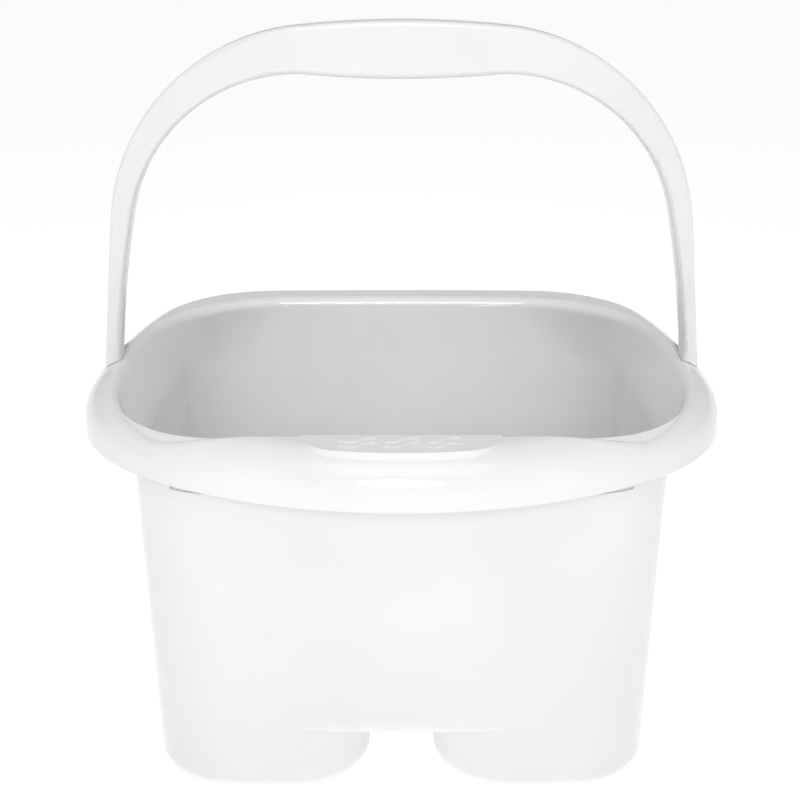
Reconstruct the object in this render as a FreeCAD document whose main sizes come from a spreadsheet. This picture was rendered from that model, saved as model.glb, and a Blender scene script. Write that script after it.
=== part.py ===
"""Pedicure foot bath: a moulded two-well tub with a rolled rim and a swinging carrying handle.

Millimetres, +Z up, the front of the bath faces -Y. The origin lies on the floor under the
middle of the rim. The rim is a hollow channel: its outer skirt hangs round the tub like a
rolled edge. The tub stands on two foot-shaped lobes with an open tunnel between them.
The handle is an arch whose legs stand on the rim. Behind each leg a cranked lug reaches
down into a cup let into the rim, where a steel pin carries it, so the handle folds
backwards until it lies on the rim.
"""
import FreeCAD, Part
import math
import os
import Sketcher

os.makedirs("parts", exist_ok=True)
doc = FreeCAD.newDocument("foot_bath")
Vec = FreeCAD.Vector

# ---------------------------------------------------------------- driving dimensions

DIMENSIONS = {
    # tub as a whole
    "tub_height": 252,            # floor to the top of the rim
    "wall": 3,                    # moulded wall thickness
    "pad_stand": 1,               # gap under the lobes, held open by the rubber pads
    # rim, seen from above: bowed front, wide just ahead of the middle, flat back
    "rim_half_width": 210,
    "rim_half_depth": 190,
    "rim_station": -16,
    "rim_front_radius": 259,
    "rim_front_corner": 145,
    "rim_side_radius": 530,
    "rim_back_corner": 97,
    "rim_back_radius": 3000,
    "rim_round": 24,              # rounding between the top of the rim and its skirt
    "rim_skirt": 31,              # height of the rim from its top to the skirt's lower edge
    "skirt_flare": 0.8,           # the skirt stands out this much more at its lower edge
    # opening in the top of the rim
    "mouth_half_width": 189,
    "mouth_half_depth": 145,
    "mouth_corner": 108,
    "mouth_side_radius": 394,
    "flat_radius": 3000,          # front and back walls are all but flat
    "flare_height": 45,           # the side walls lean out to the opening over this height
    "flare_steps": 4,             # outlines the lean is drawn through, closest at its foot
    "flare_power": 1.7,           # above 1, the lean starts gently and steepens upwards
    "mouth_round": 6,             # rounding between the rim's top and the basin
    "basin_stop": 2.4,            # the basin's outer face ends this far below the rim's top
    "overrun": 5,                 # how far cutting shapes run past the faces they cut
    "join_tolerance": 0.001,      # for joining pieces of the basin that share a wall
    "share_tolerance": 0.001,     # allowed difference between the tub's two halves
    # tub body below the rim
    "body_half_width": 174,
    "body_half_depth": 150,
    "body_side_radius": 700,
    "body_corner": 58,
    "body_draft": 6,              # the walls come in by this much down to the floor
    # tunnel between the two lobes
    "tunnel_half_width": 21.3,
    "tunnel_height": 43,
    "lobe_inner_corner": 50,
    "lobe_bottom_round": 11,
    "tunnel_mouth_round": 9,
    # shallow recess across the front wall under the rim
    "recess_half_width": 139,
    "recess_drop": 38,            # its lower edge, below the top of the rim
    "recess_depth": 1.2,
    # raised plate on the front of the rim
    "plate_half_width": 58.5,
    "plate_back": 151,            # its back edge, from the middle of the bath
    "plate_front": 179,           # its bowed front, from the middle of the bath
    "plate_front_radius": 210,
    "plate_side_radius": 400,
    "plate_corner": 24,
    "plate_rise": 1.3,            # its level top, above the top of the rim
    "plate_sink": 24,             # the plate reaches down this far before the rim trims it
    "wave_rise": 0.8,             # two raised wavy lines on the plate
    "wave_radius": 7,
    "wave_turn": 120,             # degrees swept by each bend
    "wave_width": 2.2,
    "wave_lines": 2,
    "wave_bends": 6,
    "wave_spacing": 8,
    "wave_setback": 7.5,          # first wave from the plate's back edge
    # handle, seen from the front
    "handle_rise": 223.3,         # top of the grip above the top of the rim
    "handle_crown_radius": 665,   # the top of the grip is slightly arched
    "handle_crown_turn": 5.8,     # degrees from the middle to where each corner starts
    "handle_outer_radius": 139,
    "handle_outer_lean": 5.9,     # degrees, outer face of each leg
    "handle_under_rise": 190.2,   # underside of the grip above the top of the rim
    "handle_inner_radius": 113.7,
    "handle_inner_flat": 65.4,
    "handle_inner_turn": 11.9,    # degrees left when the inner corner meets the leg
    "handle_inner_lean": 2.9,     # degrees, inner face of each leg at its foot
    "grip_belly": 3.1,            # how far the underside of the grip swells in the middle
    "handle_depth": 18,
    "handle_round": 3.4,
    "foot_gap": 0.3,              # between the foot of each leg and the rim
    # pivot behind each leg
    "pivot_drop": 10.5,           # pin axis below the top of the rim
    "fold_gap": 0.4,              # folded handle above the rim
    "hub_radius": 5.5,
    "pin_radius": 2,
    "pin_play": 0.05,
    "lug_inner": 193,
    "lug_outer": 199,
    "lug_side_gap": 0.5,
    "lug_reach": 18,              # top of the lug above the pin axis
    "cup_wall": 2,
    "cup_gap": 0.05,
    "cup_lip": 1,                 # room round the swinging lug inside the cup
    # rubber pads under the lobes
    "pad_radius": 9,
    "pad_height": 2.5,
    "pad_seat_gap": 0.05,
    "pad_across": 92,             # pad centres from the middle, across the bath
    "pad_along": 88,              # pad centres from the middle, front to back
}

sheet = doc.addObject("Spreadsheet::Sheet", "Dims")
for row, (alias, value) in enumerate(DIMENSIONS.items(), start=1):
    sheet.set(f"A{row}", alias)
    sheet.set(f"B{row}", str(value))
    sheet.setAlias(f"B{row}", alias)
doc.recompute()


def dim(alias):
    """The value of one driving dimension, read from the sheet."""
    return float(sheet.get(alias))


HEIGHT = dim("tub_height")
WALL = dim("wall")
FLOOR = dim("pad_stand")
FLARE_FOOT = HEIGHT - dim("flare_height")


# ---------------------------------------------------------------- outlines seen from above

def corner_centre(centre_a, radius_a, centre_b, radius_b, corner, front):
    """Centre of the arc that runs inside two larger arcs and touches both."""
    reach_a = radius_a - corner
    reach_b = radius_b - corner
    across = centre_b - centre_a
    gap = across.Length
    along = (reach_a ** 2 - reach_b ** 2 + gap ** 2) / (2 * gap)
    off = math.sqrt(max(reach_a ** 2 - along ** 2, 0))
    unit = across.multiply(1 / gap)
    foot = centre_a + unit * along
    side = Vec(-unit.y, unit.x, 0)
    choices = (foot + side * off, foot - side * off)
    sign = -1 if front else 1
    return max(choices, key=lambda point: point.x + sign * point.y)


def outline(half_width, half_depth, station, front, front_corner, side, back_corner, back):
    """Eight tangent arcs (centre, radius, from, to), anticlockwise from the front's right end."""
    front_centre = Vec(0, front - half_depth, 0)
    back_centre = Vec(0, half_depth - back, 0)
    side_centre = Vec(half_width - side, station, 0)
    low = corner_centre(front_centre, front, side_centre, side, front_corner, True)
    high = corner_centre(back_centre, back, side_centre, side, back_corner, False)

    def angle(start, end):
        return math.atan2(end.y - start.y, end.x - start.x)

    front_turn = angle(front_centre, low)
    low_turn = angle(side_centre, low)
    high_turn = angle(side_centre, high)
    back_turn = angle(back_centre, high)
    right = [
        (low, front_corner, front_turn, low_turn),
        (side_centre, side, low_turn, high_turn),
        (high, back_corner, high_turn, back_turn),
    ]
    left = [(Vec(-c.x, c.y, 0), r, math.pi - end, math.pi - start) for c, r, start, end in right]
    top = (back_centre, back, back_turn, math.pi - back_turn)
    bottom = (front_centre, front, math.pi - front_turn, front_turn + 2 * math.pi)
    return right + [top] + left[::-1] + [bottom]


def ring(arcs, inset, z):
    """The outline as a closed wire at height z, moved inwards by inset."""
    edges = []
    for centre, radius, start, end in arcs:
        circle = Part.Circle(Vec(centre.x, centre.y, z), Vec(0, 0, 1), radius - inset)
        edges.append(Part.Arc(circle, start, end).toShape())
    return Part.Wire(edges)


def tapered(arcs, low, low_inset, high, high_inset):
    """A solid between two insets of one outline, with straight sides."""
    rings = [ring(arcs, low_inset, low), ring(arcs, high_inset, high)]
    return Part.makeLoft(rings, True, True)


def box(x_low, y_low, z_low, x_high, y_high, z_high):
    size = (x_high - x_low, y_high - y_low, z_high - z_low)
    return Part.makeBox(*size, Vec(x_low, y_low, z_low))


def edges_at(shape, height, slack=0.05):
    """Edges that lie in one level plane."""
    return [e for e in shape.Edges
            if all(abs(v.Z - height) < slack for v in e.Vertexes)
            and abs(e.CenterOfMass.z - height) < slack]


def mirrored(shape):
    return shape.mirror(Vec(0, 0, 0), Vec(1, 0, 0))


RIM = outline(dim("rim_half_width"), dim("rim_half_depth"), dim("rim_station"),
              dim("rim_front_radius"), dim("rim_front_corner"), dim("rim_side_radius"),
              dim("rim_back_corner"), dim("rim_back_radius"))

BODY_SIZES = [dim("body_half_width"), dim("body_half_depth"), 0, dim("flat_radius"),
              dim("body_corner"), dim("body_side_radius"), dim("body_corner"),
              dim("flat_radius")]
MOUTH_SIZES = [dim("mouth_half_width") + WALL, dim("mouth_half_depth") + WALL,
               dim("rim_station"), dim("flat_radius"), dim("mouth_corner") + WALL,
               dim("mouth_side_radius") + WALL, dim("mouth_corner") + WALL,
               dim("flat_radius")]
BODY = outline(*BODY_SIZES)


# ---------------------------------------------------------------- tub shell

def rim_block(inset):
    """The rim as a full block, inset from its outer face and its top."""
    low = HEIGHT - dim("rim_skirt") - (1 if inset else 0)
    top = HEIGHT - inset
    block = tapered(RIM, low, inset, top, inset + dim("skirt_flare"))
    return block.makeFillet(dim("rim_round") - inset, edges_at(block, top))


def rim_round_centre():
    """Centre of the rim's rounded top at its widest point, allowing for the leaning skirt."""
    radius = dim("rim_round")
    lean = math.atan(dim("skirt_flare") / dim("rim_skirt"))
    side = dim("rim_half_width") - (dim("rim_skirt") - radius) * math.tan(lean)
    return Vec(side - radius / math.cos(lean), 0, HEIGHT - radius)


def body_block(inset, low):
    """The tub's drafted body from a given height up to where the sides start to flare."""
    draft = dim("body_draft") * (FLARE_FOOT - low) / (FLARE_FOOT - FLOOR)
    return tapered(BODY, low, inset + draft, FLARE_FOOT, inset)


def lobes(inset):
    """Both foot-shaped lobes, rounded at their inner corners and round the bottom."""
    low = FLOOR + inset
    inner = dim("tunnel_half_width") + inset
    reach = dim("rim_half_width")
    lobe = body_block(inset, low).common(box(inner, -reach, low - 1, reach, reach, HEIGHT))
    upright = [e for e in lobe.Edges
               if all(abs(v.X - inner) < 0.05 for v in e.Vertexes)
               and abs(e.Vertexes[0].Z - e.Vertexes[-1].Z) > dim("tunnel_height")]
    lobe = lobe.makeFillet(dim("lobe_inner_corner") - inset, upright)
    lobe = lobe.makeFillet(dim("lobe_bottom_round") - inset, edges_at(lobe, low))
    return lobe, mirrored(lobe)


def bridge(inset):
    """The body above the tunnel, rounded along its lower edge."""
    low = FLOOR + dim("tunnel_height") + inset
    block = body_block(inset, low)
    return block.makeFillet(dim("tunnel_mouth_round") - inset, edges_at(block, low))


def flare(inset, top):
    """The upper basin, where the side walls lean out to the opening."""
    rings = []
    steps = int(dim("flare_steps"))
    for part_way in [(step / steps) ** 2 for step in range(steps)] + [1]:
        mix = part_way ** dim("flare_power")
        sizes = [b + (m - b) * mix for b, m in zip(BODY_SIZES, MOUTH_SIZES)]
        z = FLARE_FOOT + (HEIGHT - FLARE_FOOT) * part_way
        rings.append(ring(outline(*sizes), inset, z))
    block = Part.makeLoft(rings, True, False)
    reach = dim("rim_half_width")
    if top > HEIGHT:
        cap = tapered(outline(*MOUTH_SIZES), HEIGHT, inset, top, inset)
        return block.fuse(cap)
    return block.common(box(-reach, -reach, 0, reach, reach, top))


def basin(inset, top):
    """The whole basin as a full block: its pieces share walls, so they join with a tolerance."""
    lobe, other_lobe = lobes(inset)
    return bridge(inset).fuse([lobe, other_lobe, flare(inset, top)], dim("join_tolerance"))


def pivot_point():
    """Middle of the right-hand pivot, on the pin's axis."""
    back_face = dim("handle_depth") / 2
    middle = (dim("lug_inner") + dim("lug_outer")) / 2
    return Vec(middle, back_face + dim("pivot_drop") + dim("fold_gap"),
               HEIGHT - dim("pivot_drop"))


def cup_blocks():
    """Outer and inner blocks of the right-hand pivot cup, before the rim trims its top."""
    pivot = pivot_point()
    side = (dim("lug_outer") - dim("lug_inner")) / 2 + dim("lug_side_gap")
    front = pivot.y - dim("pivot_drop") - dim("fold_gap") - dim("cup_lip")
    back = pivot.y + dim("lug_reach") + dim("cup_lip")
    floor = pivot.z - dim("hub_radius") - dim("cup_lip")
    shell = dim("cup_wall")
    inner = box(pivot.x - side, front, floor, pivot.x + side, back, HEIGHT + 1)
    outer = box(pivot.x - side - shell, front - shell, floor - shell,
                pivot.x + side + shell, back + shell, HEIGHT + 1)
    return outer, inner


def pin_bore(radius):
    """Cylinder along the pin's axis, as long as the right-hand cup is wide."""
    pivot = pivot_point()
    half = (dim("lug_outer") - dim("lug_inner")) / 2 + dim("lug_side_gap") + dim("cup_wall")
    return Part.makeCylinder(radius, 2 * half, Vec(pivot.x - half, pivot.y, pivot.z), Vec(1, 0, 0))


def cup_hole():
    """Hole through the rim's top for the right-hand cup, with a little play all round."""
    outer, inner = cup_blocks()
    room = outer.BoundBox
    gap = dim("cup_gap")
    return box(room.XMin - gap, room.YMin - gap, room.ZMin - gap,
               room.XMax + gap, room.YMax + gap, HEIGHT + 1)


def mouth_edges(shape):
    """Edges of the tub that lie on the opening in the rim's top."""
    mouth = ring(outline(*MOUTH_SIZES), WALL, HEIGHT)
    found = []
    for edge in shape.Edges:
        span = edge.LastParameter - edge.FirstParameter
        points = [edge.valueAt(edge.FirstParameter + span * step / 4) for step in range(5)]
        level = all(p.z > HEIGHT - WALL / 2 for p in points)
        if level and all(Part.Vertex(Vec(p.x, p.y, HEIGHT)).distToShape(mouth)[0] < WALL / 5
                         for p in points):
            found.append(edge)
    return found


def recess_band():
    """Thin skin of the front wall, just under the rim, that the recess removes."""
    top = HEIGHT - WALL
    skin = flare(0, top).cut(flare(dim("recess_depth"), top))
    reach = dim("rim_half_width")
    across = dim("recess_half_width")
    return skin.common(box(-across, -reach, HEIGHT - dim("recess_drop"),
                           across, 0, HEIGHT - dim("rim_round")))


def tub_shape():
    """The whole moulded tub: rim channel, basin, tunnel, recess and pad seats."""
    shell = rim_block(0).cut(rim_block(WALL))
    tub = shell.fuse(basin(0, HEIGHT - dim("basin_stop")))
    tub = tub.cut(basin(WALL, HEIGHT + dim("overrun")))
    tub = tub.makeFillet(dim("mouth_round"), mouth_edges(tub))
    hole = cup_hole()
    seats = [Part.makeCylinder(dim("pad_radius") + dim("pad_seat_gap"),
                               dim("pad_height") - dim("pad_stand"), Vec(x, y, FLOOR))
             for x, y in pad_places()]
    return tub.cut([recess_band(), hole, mirrored(hole), *seats])


def pad_places():
    return [(x * dim("pad_across"), y * dim("pad_along")) for y in (-1, 1) for x in (-1, 1)]


# ---------------------------------------------------------------- handle

def polar(centre, radius, degrees):
    turn = math.radians(degrees)
    return Vec(centre.x + radius * math.cos(turn), 0, centre.z + radius * math.sin(turn))


def crown_centre():
    """Centre of the long arc along the top of the grip."""
    return Vec(0, 0, HEIGHT + dim("handle_rise") - dim("handle_crown_radius"))


def arch_curves():
    """Right half of the handle's outline, as curves in the XZ plane from crown to foot."""
    foot = HEIGHT - dim("pivot_drop") - dim("hub_radius")
    outer_radius = dim("handle_outer_radius")
    lean = dim("handle_outer_lean")
    crown_turn = 90 - dim("handle_crown_turn")
    outer_centre = polar(crown_centre(), dim("handle_crown_radius") - outer_radius, crown_turn)
    outer_end = polar(outer_centre, outer_radius, lean)
    outer_foot = Vec(outer_end.x + (outer_end.z - foot) * math.tan(math.radians(lean)), 0, foot)
    outer = [(outer_centre, outer_radius, lean, crown_turn), (outer_end, outer_foot)]

    inner_radius = dim("handle_inner_radius")
    turn = dim("handle_inner_turn")
    last = dim("handle_inner_lean")
    inner_centre = Vec(dim("handle_inner_flat"), 0,
                       HEIGHT + dim("handle_under_rise") - inner_radius)
    inner_end = polar(inner_centre, inner_radius, turn)
    leg_radius = (inner_end.z - foot) / (math.sin(math.radians(turn)) - math.sin(math.radians(last)))
    leg_centre = polar(inner_end, -leg_radius, turn)
    inner_foot = polar(leg_centre, leg_radius, last)
    inner = [(inner_centre, inner_radius, turn, 90), (leg_centre, leg_radius, last, turn)]
    return outer, inner, outer_foot, inner_foot


def body_plane(body, role):
    return next(part for part in body.Origin.OriginFeatures if part.Role == role)


def new_sketch(body, name, role, geometry):
    """A sketch on one of the body's own planes; points are (across, up) pairs as Vectors."""
    sketch = body.newObject("Sketcher::SketchObject", name)
    sketch.AttachmentSupport = [(body_plane(body, role), "")]
    sketch.MapMode = "FlatFace"
    for curve in geometry:
        sketch.addGeometry(curve, False)
    return sketch


def bind(sketch, kind, curve, alias, *value):
    """Adds a dimension to one curve and drives it from the sheet."""
    index = sketch.addConstraint(Sketcher.Constraint(kind, curve, *value, dim(alias)))
    sketch.renameConstraint(index, alias)
    sketch.setExpression(f"Constraints.{alias}", f"Dims.{alias}")


def flat(point):
    """A point of the XZ plane as a point of a sketch on that plane."""
    return Vec(point.x, point.z, 0)


def sketch_arc(centre, radius, start, end):
    circle = Part.Circle(flat(centre), Vec(0, 0, 1), radius)
    return Part.ArcOfCircle(circle, math.radians(start), math.radians(end))


def arch_outline():
    outer, inner, outer_foot, inner_foot = arch_curves()
    (outer_arc, outer_line), (inner_arc, leg_arc) = outer, inner
    under = HEIGHT + dim("handle_under_rise")
    curves = []

    def line(start, end):
        curves.append(Part.LineSegment(flat(start), flat(end)))

    def other(centre, radius, start, end):
        curves.append(sketch_arc(Vec(-centre.x, 0, centre.z), radius, 180 - end, 180 - start))

    crown_turn = dim("handle_crown_turn")
    curves.append(sketch_arc(crown_centre(), dim("handle_crown_radius"),
                             90 - crown_turn, 90 + crown_turn))
    other(*outer_arc)
    line(Vec(-outer_line[0].x, 0, outer_line[0].z), Vec(-outer_foot.x, 0, outer_foot.z))
    line(Vec(-outer_foot.x, 0, outer_foot.z), Vec(-inner_foot.x, 0, inner_foot.z))
    other(*leg_arc)
    other(*inner_arc)
    half = dim("handle_inner_flat")
    belly = dim("grip_belly")
    belly_radius = (half ** 2 + belly ** 2) / (2 * belly)
    spread = math.degrees(math.asin(half / belly_radius))
    belly_centre = Vec(0, 0, under - belly + belly_radius)
    curves.append(sketch_arc(belly_centre, belly_radius, 270 - spread, 270 + spread))
    curves.append(sketch_arc(*inner_arc))
    curves.append(sketch_arc(*leg_arc))
    line(inner_foot, outer_foot)
    line(outer_foot, outer_line[0])
    curves.append(sketch_arc(*outer_arc))
    return curves


def add_handle():
    body = doc.addObject("PartDesign::Body", "handle")
    body.Label = "handle_bail"
    outline_sketch = new_sketch(body, "arch_outline", "XZ_Plane", arch_outline())
    bind(outline_sketch, "Radius", 0, "handle_crown_radius")
    bind(outline_sketch, "Radius", 1, "handle_outer_radius")
    bind(outline_sketch, "Radius", 5, "handle_inner_radius")
    arch = body.newObject("PartDesign::Pad", "arch")
    arch.Profile = outline_sketch
    arch.SideType = "Symmetric"
    arch.setExpression("Length", "Dims.handle_depth")
    doc.recompute()
    rounding = body.newObject("PartDesign::Fillet", "arch_edges")
    half = dim("handle_depth") / 2
    names = [f"Edge{n}" for n, e in enumerate(arch.Shape.Edges, start=1)
             if all(abs(abs(v.Y) - half) < 0.01 for v in e.Vertexes)
             and abs(e.Vertexes[0].Y - e.Vertexes[-1].Y) < 0.01
             and e.CenterOfMass.z > HEIGHT - dim("pivot_drop")]
    rounding.Base = (arch, names)
    rounding.setExpression("Radius", "Dims.handle_round")
    doc.recompute()

    # the foot of each leg is cut to the rim's rounded top
    gap = dim("foot_gap")
    reach = dim("rim_round") + gap
    centre = rim_round_centre()
    low = HEIGHT - 2 * dim("rim_round")
    inside = dim("body_half_width")
    cuts = []
    for side in (1, -1):
        start, end = (0, 90) if side > 0 else (90, 180)
        points = [Vec(side * centre.x, 0, HEIGHT + gap), Vec(side * inside, 0, HEIGHT + gap),
                  Vec(side * inside, 0, low), Vec(side * (centre.x + reach), 0, low),
                  Vec(side * (centre.x + reach), 0, centre.z)]
        for first, second in zip(points, points[1:]):
            cuts.append(Part.LineSegment(flat(first), flat(second)))
        cuts.append(sketch_arc(Vec(side * centre.x, 0, centre.z), reach, start, end))
    foot_sketch = new_sketch(body, "foot_outline", "XZ_Plane", cuts)
    feet = body.newObject("PartDesign::Pocket", "feet")
    feet.Profile = foot_sketch
    feet.SideType = "Symmetric"
    feet.setExpression("Length", "Dims.handle_depth + 2 * Dims.rim_round")
    doc.recompute()

    # cranked lug behind the right leg, then its mirror image
    pivot = pivot_point()
    back = -(dim("pivot_drop") + dim("fold_gap"))
    bite = dim("handle_round") + 1
    hub = dim("hub_radius")
    slant = hub * math.sin(math.radians(45))
    rise = dim("pivot_drop") + gap
    path = [Vec(-hub, 0), Vec(back, rise), Vec(back - bite, rise + bite / 2),
            Vec(back - bite, dim("lug_reach")), Vec(back, dim("lug_reach")), Vec(slant, slant)]
    shift = Vec(pivot.y, pivot.z, 0)
    lug_curves = [Part.LineSegment(a + shift, b + shift) for a, b in zip(path, path[1:])]
    circle = Part.Circle(shift, Vec(0, 0, 1), hub)
    lug_curves.append(Part.ArcOfCircle(circle, math.radians(-180), math.radians(45)))
    lug_sketch = new_sketch(body, "lug_outline", "YZ_Plane", lug_curves)
    lug_sketch.setExpression("AttachmentOffset.Base.z", "Dims.lug_inner")
    bind(lug_sketch, "Radius", len(lug_curves) - 1, "hub_radius")
    lug = body.newObject("PartDesign::Pad", "lug")
    lug.Profile = lug_sketch
    lug.setExpression("Length", "Dims.lug_outer - Dims.lug_inner")
    doc.recompute()
    bore_circle = Part.Circle(shift, Vec(0, 0, 1), dim("pin_radius") + dim("pin_play"))
    bore_sketch = new_sketch(body, "bore_outline", "YZ_Plane", [bore_circle])
    bore_sketch.setExpression("AttachmentOffset.Base.z", "Dims.lug_inner - 1")
    bore = body.newObject("PartDesign::Pocket", "bore")
    bore.Profile = bore_sketch
    bore.Reversed = True
    bore.setExpression("Length", "Dims.lug_outer - Dims.lug_inner + 2")
    doc.recompute()
    other = body.newObject("PartDesign::Mirrored", "other_lug")
    other.Originals = [lug, bore]
    other.MirrorPlane = (body_plane(body, "YZ_Plane"), [""])
    body.Tip = other
    doc.recompute()
    return body


def add_shape(label, shape):
    """A sub-part whose shape is worked out from the sheet."""
    part = doc.addObject("Part::Feature", label)
    part.Label = label
    part.Shape = shape
    part.Placement = FreeCAD.Placement()
    return part


def add_tub():
    return add_shape("tub_shell", tub_shape())


def add_pins():
    """Steel pivot pins, pressed into the cups and free in the handle's lugs."""
    pins = []
    pivot = pivot_point()
    for side, name in ((-1, "left"), (1, "right")):
        pin = doc.addObject("Part::Cylinder", f"pivot_pin_{name}")
        pin.Label = f"pivot_pin_{name}"
        pin.setExpression("Radius", "Dims.pin_radius")
        pin.setExpression("Height", "Dims.lug_outer - Dims.lug_inner"
                          " + 2 * (Dims.lug_side_gap + Dims.cup_wall)")
        length = (dim("lug_outer") - dim("lug_inner")
                  + 2 * (dim("lug_side_gap") + dim("cup_wall")))
        start = Vec(side * pivot.x - length / 2, pivot.y, pivot.z)
        pin.Placement = FreeCAD.Placement(start, FreeCAD.Rotation(Vec(0, 1, 0), 90))
        pins.append(pin)
    return pins


def add_cups():
    """Pivot cups, trimmed flush with the rim, with a bore for the pin in both walls."""
    outer, inner = cup_blocks()
    cup = outer.cut(inner).common(rim_block(0)).cut(pin_bore(dim("pin_radius")))
    return [add_shape("pivot_cup_right", cup), add_shape("pivot_cup_left", mirrored(cup))]


def wave(y, top):
    """One raised wavy line across the plate: equal bends, curving to and fro in turn."""
    radius = dim("wave_radius")
    turn = dim("wave_turn")
    half = dim("wave_width") / 2
    bends = int(dim("wave_bends"))
    chord = 2 * radius * math.sin(math.radians(turn / 2))
    sink = radius * math.cos(math.radians(turn / 2))
    tall = 2 * dim("wave_rise")
    pieces = []
    for number in range(bends):
        side = 1 if number % 2 else -1
        x = (number - (bends - 1) / 2) * chord
        base = Vec(x, y - side * sink, top - dim("wave_rise"))
        up = Vec(0, 0, 1)
        sector = Part.makeCylinder(radius + half, tall, base, up, turn)
        sector = sector.cut(Part.makeCylinder(radius - half, tall, base, up))
        sector.rotate(base, up, (90 if side > 0 else 270) - turn / 2)
        pieces.append(sector)
    return pieces


def add_plate():
    """Raised plate on the front of the rim, with a plain relief of waves."""
    back = dim("plate_back")
    top = HEIGHT + dim("plate_rise")
    low = HEIGHT - dim("plate_sink")
    reach = dim("rim_half_width")
    plan = outline(dim("plate_half_width"), dim("plate_front"), -back,
                   dim("plate_front_radius"), dim("plate_corner"), dim("plate_side_radius"),
                   dim("plate_corner"), dim("flat_radius"))
    block = tapered(plan, low, 0, top, 0)
    block = block.common(box(-reach, -reach, low, reach, -back, top)).cut(rim_block(0))
    waves = []
    for line in range(int(dim("wave_lines"))):
        waves += wave(-back - dim("wave_setback") - line * dim("wave_spacing"), top)
    return add_shape("rim_plate", block.fuse(waves))


def add_pads():
    pads = []
    for number, (x, y) in enumerate(pad_places(), start=1):
        pad = doc.addObject("Part::Cylinder", f"rubber_pad_{number}")
        pad.Label = f"rubber_pad_{number}"
        pad.setExpression("Radius", "Dims.pad_radius")
        pad.setExpression("Height", "Dims.pad_height")
        pad.Placement = FreeCAD.Placement(Vec(x, y, 0), FreeCAD.Rotation())
        pads.append(pad)
    return pads


parts = [add_tub(), add_handle(), add_plate(), *add_cups(), *add_pins(), *add_pads()]
doc.recompute()

for item in doc.Objects:
    broken = {"Invalid", "Error"} & set(item.State)
    if broken:
        raise RuntimeError(f"{item.Name} failed: {item.State}")

for part in parts:
    shape = part.Shape
    if shape.isNull() or not shape.isValid() or not shape.Solids:
        raise RuntimeError(f"{part.Label} has no valid solid")
    print(part.Label, len(shape.Solids), round(shape.Volume), shape.BoundBox)

# a join can lose a lobe and still leave one valid solid, so the tub's own layout is checked
tub = next(part for part in parts if part.Label == "tub_shell").Shape
reach = dim("rim_half_width") + dim("overrun")
right_half = tub.common(box(0, -reach, -reach, reach, reach, HEIGHT + reach))
if abs(2 * right_half.Volume / tub.Volume - 1) > dim("share_tolerance"):
    raise RuntimeError("the two halves of the tub are not alike")
mid_floor = FLOOR + WALL / 2
well = FLOOR + WALL + dim("overrun")
across = (dim("tunnel_half_width") + dim("body_half_width")) / 2
layout = {
    "left floor": (Vec(-across, 0, mid_floor), True),
    "right floor": (Vec(across, 0, mid_floor), True),
    "tunnel ceiling": (Vec(0, 0, mid_floor + dim("tunnel_height")), True),
    "left well": (Vec(-across, 0, well), False),
    "right well": (Vec(across, 0, well), False),
    "tunnel": (Vec(0, 0, dim("tunnel_height") / 2), False),
    "basin": (Vec(0, 0, FLARE_FOOT), False),
}
for place, (point, solid) in layout.items():
    if tub.isInside(point, dim("join_tolerance"), True) != solid:
        raise RuntimeError(f"{place} should be {'solid' if solid else 'open'}")

# nothing on the handle may reach into the tub, the plate or a cup
handle = next(part for part in parts if part.Label == "handle_bail")
for part in parts:
    if part.Label.startswith(("tub_", "rim_", "pivot_cup_")):
        shared = handle.Shape.common(part.Shape).Volume
        if shared > 0:
            raise RuntimeError(f"handle_bail and {part.Label} share {shared} cubic mm")

for part in parts:
    part.Shape.exportStep(f"parts/{part.Label}.step")
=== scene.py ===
"""Pedicure foot bath in a plain white studio: materials, light and camera round the CAD frame."""
import math

import bpy
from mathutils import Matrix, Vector


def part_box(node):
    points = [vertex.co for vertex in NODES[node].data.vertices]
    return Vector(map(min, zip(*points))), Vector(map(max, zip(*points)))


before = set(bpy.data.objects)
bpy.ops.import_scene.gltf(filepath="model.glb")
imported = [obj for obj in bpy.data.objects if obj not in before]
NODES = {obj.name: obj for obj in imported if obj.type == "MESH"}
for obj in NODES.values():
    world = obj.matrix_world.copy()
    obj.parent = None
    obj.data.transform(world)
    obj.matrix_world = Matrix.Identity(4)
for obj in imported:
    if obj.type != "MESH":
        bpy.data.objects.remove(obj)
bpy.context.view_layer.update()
RIM_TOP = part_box("tub_shell")[1][2]

scene = bpy.context.scene


# ---------------------------------------------------------------- procedural materials

# sizes in metres, unless a comment says otherwise
MOTTLE = 0.09               # blobs of slightly different white
GLOSS_PATCH = 0.03          # patches of duller and brighter gloss
GLOSS_SPREAD = 1.5          # the dullest patch is this many times as rough as the glossiest
ORANGE_PEEL = 0.018
GRAIN = 0.0009
GRAIN_SHARE = 0.02          # height of the grain against the orange peel
PLASTIC_IOR = 1.49
SCUFF_WIDTH = 0.0016
SCUFF_STRETCH = 24          # scuffs are this many times as long as they are wide
SCUFF_EDGES = (0.68, 0.74)  # noise values between which a scuff fades in
SCUFF_PATCH = 0.06
PATCH_EDGES = (0.52, 0.66)  # noise values between which a scuffed patch fades in
SCUFF_DULL = 0.25           # roughness added by a scuff
SCUFF_DEEP = 0.00002
FOOT_BREAKS = 0.02          # blobs that break up the darker, duller foot of the tub
FOOT_DULL_TO = 0.03         # height at which the darker, duller foot of the tub ends
RINGS = 900                 # scale of the turning rings on a pin
RING_DEEP = 0.00001
PITS = 0.0007
PIT_DEEP = 0.00006


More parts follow.
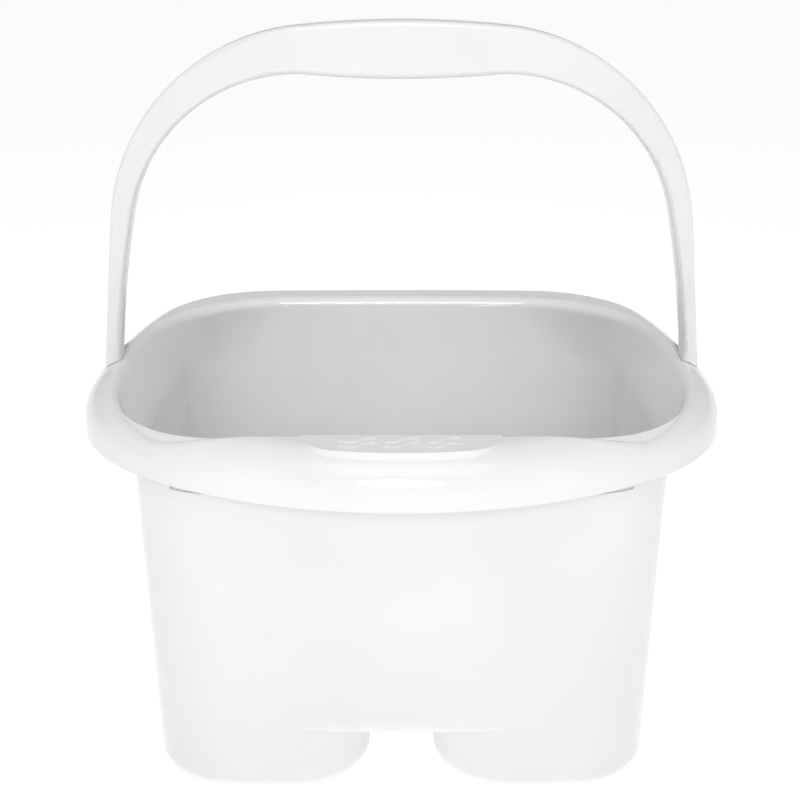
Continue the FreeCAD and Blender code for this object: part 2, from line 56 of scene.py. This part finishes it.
class Nodes:
    """Small helper for building one material's node tree."""

    def __init__(self, name):
        self.material = bpy.data.materials.new(name)
        self.material.use_nodes = True
        self.tree = self.material.node_tree
        self.shader = self.tree.nodes["Principled BSDF"]
        self.place = self.tree.nodes.new("ShaderNodeTexCoord").outputs["Object"]

    def add(self, kind, **values):
        node = self.tree.nodes.new(kind)
        for key, value in values.items():
            if key in node.inputs:
                node.inputs[key].default_value = value
            else:
                setattr(node, key, value)
        return node

    def link(self, start, end):
        self.tree.links.new(start, end)

    def noise(self, size, detail=3.0, roughness=0.5):
        """Noise whose blobs are about size metres across."""
        node = self.add("ShaderNodeTexNoise", Scale=1 / size, Detail=detail, Roughness=roughness)
        self.link(self.place, node.inputs["Vector"])
        return node.outputs["Fac"]

    def spread(self, value, low, high, start=0.3, end=0.7):
        """Maps a 0 to 1 value onto low to high."""
        node = self.tree.nodes.new("ShaderNodeMapRange")
        for socket, number in zip(("From Min", "From Max", "To Min", "To Max"),
                                  (start, end, low, high)):
            node.inputs[socket].default_value = number
        self.link(value, node.inputs["Value"])
        return node.outputs["Result"]

    def maths(self, operation, first, second):
        """One sum on two values, kept between 0 and 1."""
        node = self.tree.nodes.new("ShaderNodeMath")
        node.operation = operation
        node.use_clamp = True
        self.link(first, node.inputs[0])
        self.link(second, node.inputs[1])
        return node.outputs[0]

    def scratches(self, width, stretch):
        """Sparse fine scuffs that run round the object, level with the floor."""
        squeeze = self.add("ShaderNodeVectorMath", operation="MULTIPLY")
        squeeze.inputs[1].default_value = (1 / stretch, 1 / stretch, 1)
        self.link(self.place, squeeze.inputs[0])
        node = self.add("ShaderNodeTexNoise", Scale=1 / width, Detail=2.0)
        self.link(squeeze.outputs[0], node.inputs["Vector"])
        lines = self.spread(node.outputs["Fac"], 0, 1, *SCUFF_EDGES)
        patches = self.spread(self.noise(SCUFF_PATCH), 0, 1, *PATCH_EDGES)
        return self.maths("MULTIPLY", lines, patches)

    def below(self, height):
        """1 on the floor, fading to 0 at the given height, broken up by noise."""
        split = self.tree.nodes.new("ShaderNodeSeparateXYZ")
        self.link(self.place, split.inputs[0])
        low = self.spread(split.outputs["Z"], 1, 0, 0, height)
        breaks = self.spread(self.noise(FOOT_BREAKS, detail=6), 0, 1)
        return self.maths("MULTIPLY", low, breaks)

    def tint(self, value, dark, light):
        """Mixes two colours by a 0 to 1 value and feeds the base colour."""
        node = self.tree.nodes.new("ShaderNodeMix")
        node.data_type = "RGBA"
        node.inputs["A"].default_value = (*dark, 1)
        node.inputs["B"].default_value = (*light, 1)
        self.link(value, node.inputs["Factor"])
        self.link(node.outputs["Result"], self.shader.inputs["Base Color"])

    def bump(self, value, height, strength=1.0, under=None):
        """Adds a bump of that height in metres, on top of another bump if one is given."""
        node = self.add("ShaderNodeBump", Strength=strength, Distance=height)
        self.link(value, node.inputs["Height"])
        if under is not None:
            self.link(under, node.inputs["Normal"])
        return node.outputs["Normal"]


def moulded_plastic(name, dark, light, gloss, ripple, foot=None):
    """Injection-moulded polypropylene with soft mottle, orange peel, scuffs, and a foot that is
    darker and duller towards the floor.
    """
    nodes = Nodes(name)
    shader = nodes.shader
    mottle = nodes.spread(nodes.noise(MOTTLE), 0, 1)
    scuffs = nodes.scratches(SCUFF_WIDTH, SCUFF_STRETCH)
    if foot is None:
        nodes.tint(mottle, dark, light)
        duller_parts = scuffs
    else:
        # the foot of the tub is coloured slightly darker and made duller, fading out by the given
        # height
        darker_low_band = nodes.below(foot)
        mottle_less_low_band = nodes.maths("SUBTRACT", mottle, darker_low_band)
        nodes.tint(mottle_less_low_band, dark, light)
        duller_parts = nodes.maths("MAXIMUM", scuffs, darker_low_band)
    uneven = nodes.spread(nodes.noise(GLOSS_PATCH, detail=5), gloss, gloss * GLOSS_SPREAD)
    duller = nodes.spread(duller_parts, 0, SCUFF_DULL, 0, 1)
    nodes.link(nodes.maths("ADD", uneven, duller), shader.inputs["Roughness"])
    waves = nodes.bump(nodes.noise(ORANGE_PEEL, detail=1), ripple)
    grain = nodes.bump(nodes.noise(GRAIN, detail=2), ripple * GRAIN_SHARE, under=waves)
    nodes.link(nodes.bump(scuffs, SCUFF_DEEP, under=grain), shader.inputs["Normal"])
    shader.inputs["IOR"].default_value = PLASTIC_IOR
    return nodes.material


def turned_steel(name):
    """Ground stainless pin: fine rings round its axis."""
    nodes = Nodes(name)
    shader = nodes.shader
    nodes.tint(nodes.noise(0.004), (0.5, 0.5, 0.51), (0.66, 0.66, 0.67))
    shader.inputs["Metallic"].default_value = 1.0
    rings = nodes.add("ShaderNodeTexWave", Scale=RINGS, Distortion=0.6, bands_direction="X")
    nodes.link(nodes.place, rings.inputs["Vector"])
    nodes.link(nodes.spread(rings.outputs["Fac"], 0.22, 0.4, 0, 1), shader.inputs["Roughness"])
    nodes.link(nodes.bump(rings.outputs["Fac"], RING_DEEP), shader.inputs["Normal"])
    return nodes.material


def soft_rubber(name):
    """Pale grey rubber, unevenly coloured, with a matt and faintly pitted skin."""
    nodes = Nodes(name)
    shader = nodes.shader
    cloudy = nodes.spread(nodes.noise(0.006, detail=6), 0, 1)
    nodes.tint(cloudy, (0.5, 0.5, 0.5), (0.66, 0.66, 0.65))
    nodes.link(nodes.spread(nodes.noise(0.002), 0.55, 0.8), shader.inputs["Roughness"])
    nodes.link(nodes.bump(nodes.noise(PITS, detail=4), PIT_DEEP), shader.inputs["Normal"])
    return nodes.material


def give(names, material):
    """Puts one material on every slot of the named CAD nodes."""
    for name in names:
        for slot in NODES[name].material_slots:
            slot.material = material


WHITE_DARK = (0.84, 0.84, 0.84)
WHITE_LIGHT = (0.88, 0.88, 0.88)
CUP_DARK = (0.72, 0.72, 0.72)
CUP_LIGHT = (0.78, 0.78, 0.78)
give(["tub_shell"],
     moulded_plastic("tub_plastic", WHITE_DARK, WHITE_LIGHT, 0.09, 0.00012,
                     foot=FOOT_DULL_TO))
give(["handle_bail"], moulded_plastic("handle_plastic", WHITE_DARK, WHITE_LIGHT, 0.14, 0.00008))
give(["rim_plate"], moulded_plastic("plate_plastic", WHITE_DARK, WHITE_LIGHT, 0.14, 0.00005))
give(["pivot_cup_left", "pivot_cup_right"],
     moulded_plastic("cup_plastic", CUP_DARK, CUP_LIGHT, 0.3, 0.00004))
give(["pivot_pin_left", "pivot_pin_right"], turned_steel("pin_steel"))
give([name for name in NODES if name.startswith("rubber_pad")], soft_rubber("pad_rubber"))


# ---------------------------------------------------------------- studio

FLOOR_SIZE = 60
FLOOR_GLOW = 0.48
SKY_STRENGTH = 0.52
FRONT = (0, 0, 0.2)                # what the two side strips are aimed at
STRIP = (0.35, 1.5, 1.0)           # width, height and watts of each side strip
CAMERA_PITCH = math.radians(20)
CAMERA_DISTANCE = 0.9693
CAMERA_TARGET = (-0.00104, 0, RIM_TOP - 0.0319)
CAMERA_LENS = 63                   # millimetres
CAMERA_SENSOR = 36                 # millimetres


def floor_plane():
    """A wide white light table that the bath stands on."""
    bpy.ops.mesh.primitive_plane_add(size=FLOOR_SIZE, location=(0, 0, 0))
    plane = bpy.context.object
    plane.name = "studio_floor"
    nodes = Nodes("studio_white")
    nodes.tint(nodes.noise(0.5), (0.93, 0.93, 0.93), (0.95, 0.95, 0.95))
    nodes.shader.inputs["Roughness"].default_value = 0.9
    nodes.shader.inputs["Emission Color"].default_value = (1, 1, 1, 1)
    nodes.shader.inputs["Emission Strength"].default_value = FLOOR_GLOW
    plane.data.materials.append(nodes.material)


def aimed(name, data, place, target):
    """Puts a light or a camera at a place, looking at a target."""
    thing = bpy.data.objects.new(name, data)
    thing.location = place
    towards = Vector(target) - Vector(place)
    thing.rotation_euler = towards.to_track_quat("-Z", "Y").to_euler()
    scene.collection.objects.link(thing)
    return thing


def soft_box(name, place, target, width, height, watts):
    """A plain rectangular studio light."""
    light = bpy.data.lights.new(name, "AREA")
    light.shape = "RECTANGLE"
    light.size = width
    light.size_y = height
    light.energy = watts
    aimed(name, light, place, target)


def snoot(name, place, target, degrees, watts):
    """A soft-edged beam, here thrown over the front of the rim onto the basin's back wall."""
    light = bpy.data.lights.new(name, "SPOT")
    light.spot_size = math.radians(degrees)
    light.spot_blend = 1.0
    light.shadow_soft_size = 0.25
    light.energy = watts
    aimed(name, light, place, target)


def studio_sky():
    """An even pale grey all round, a little darker overhead."""
    world = bpy.data.worlds.new("studio_sky")
    scene.world = world
    world.use_nodes = True
    tree = world.node_tree
    background = tree.nodes["Background"]
    coordinates = tree.nodes.new("ShaderNodeTexCoord")
    split = tree.nodes.new("ShaderNodeSeparateXYZ")
    ramp = tree.nodes.new("ShaderNodeValToRGB")
    tree.links.new(coordinates.outputs["Generated"], split.inputs[0])
    tree.links.new(split.outputs["Z"], ramp.inputs["Fac"])
    tree.links.new(ramp.outputs["Color"], background.inputs["Color"])
    ramp.color_ramp.elements[0].position = 0.25
    ramp.color_ramp.elements[0].color = (1, 1, 1, 1)
    ramp.color_ramp.elements[1].position = 0.95
    ramp.color_ramp.elements[1].color = (0.95, 0.95, 0.95, 1)
    background.inputs["Strength"].default_value = SKY_STRENGTH


def camera_at(pitch, distance, target, lens):
    """The scene's camera, straight in front of the bath and above it by the pitch."""
    camera = bpy.data.cameras.new("camera")
    camera.lens = lens
    camera.sensor_width = CAMERA_SENSOR
    away = Vector((0, -math.cos(pitch), math.sin(pitch)))
    scene.camera = aimed("camera", camera, Vector(target) + away * distance, target)


floor_plane()
studio_sky()
soft_box("top_box", (0, -0.9, 1.9), (0, 0, 0.3), 1.4, 1.0, 7.5)
for side, across in (("left", -1.5), ("right", 1.5)):
    soft_box(f"{side}_strip", (across, -1.5, 0.7), FRONT, *STRIP)
snoot("basin_beam", (0, -1.0, 0.75), (0, 0.14, 0.2), 26, 29)
camera_at(CAMERA_PITCH, CAMERA_DISTANCE, CAMERA_TARGET, CAMERA_LENS)
scene.view_settings.view_transform = "Standard"
